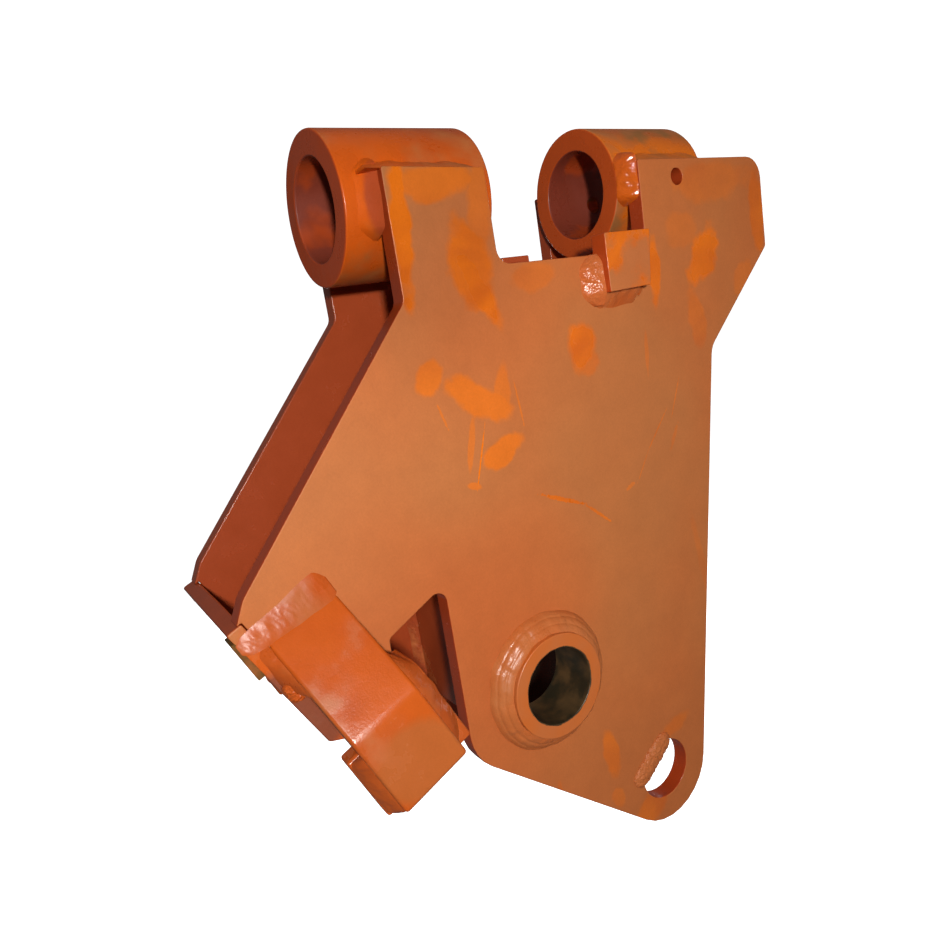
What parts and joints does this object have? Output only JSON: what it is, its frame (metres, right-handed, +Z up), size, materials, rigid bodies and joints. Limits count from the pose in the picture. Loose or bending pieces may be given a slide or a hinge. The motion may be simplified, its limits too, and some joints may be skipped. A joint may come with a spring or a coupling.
{
  "type": "excavator quick coupler",
  "caption": "Welded steel quick coupler body: paired side plates, transverse top pin bosses, lower pivot bore, flared hook ears, keeper eye and stop block.",
  "frame": {"origin": "on the axis of the top pin bosses, midway between the side plates and midway between the bosses' facing ends", "axes": "+X along the top pin axis towards the lock lobe, +Y from the front side plate to the rear one, +Z up"},
  "size_m": [0.4521, 0.2194, 0.5146],
  "materials": {
    "paint": "satin orange paint, worn",
    "weld": "gloss orange paint over weld beads",
    "bare_bore": "dark bare steel with overspray"
  },
  "bodies": {
    "root": {"eye_bar": "paint", "front_ear_gusset": "paint", "front_ear_pad": "paint", "front_ear_root_weld": "weld", "front_guide_ear": "paint", "front_left_boss_side_weld": "weld", "front_left_boss_top_weld": "weld", "front_pivot_ring": "bare_bore", "front_pivot_weld": "weld", "front_right_boss_side_weld": "weld", "front_right_boss_top_weld": "weld", "front_side_plate": "paint", "hook_wall": "paint", "hook_wall_rest": "paint", "left_pin_boss": "paint", "rear_ear_gusset": "paint", "rear_ear_pad": "paint", "rear_ear_root_weld": "weld", "rear_guide_ear": "paint", "rear_left_boss_side_weld": "weld", "rear_left_boss_top_weld": "weld", "rear_pivot_ring": "bare_bore", "rear_pivot_weld": "weld", "rear_right_boss_side_weld": "weld", "rear_right_boss_top_weld": "weld", "rear_side_plate": "paint", "right_pin_boss": "paint", "stop_block": "paint", "throat_web": "paint", "upper_web": "paint"}
  },
  "joints": []
}
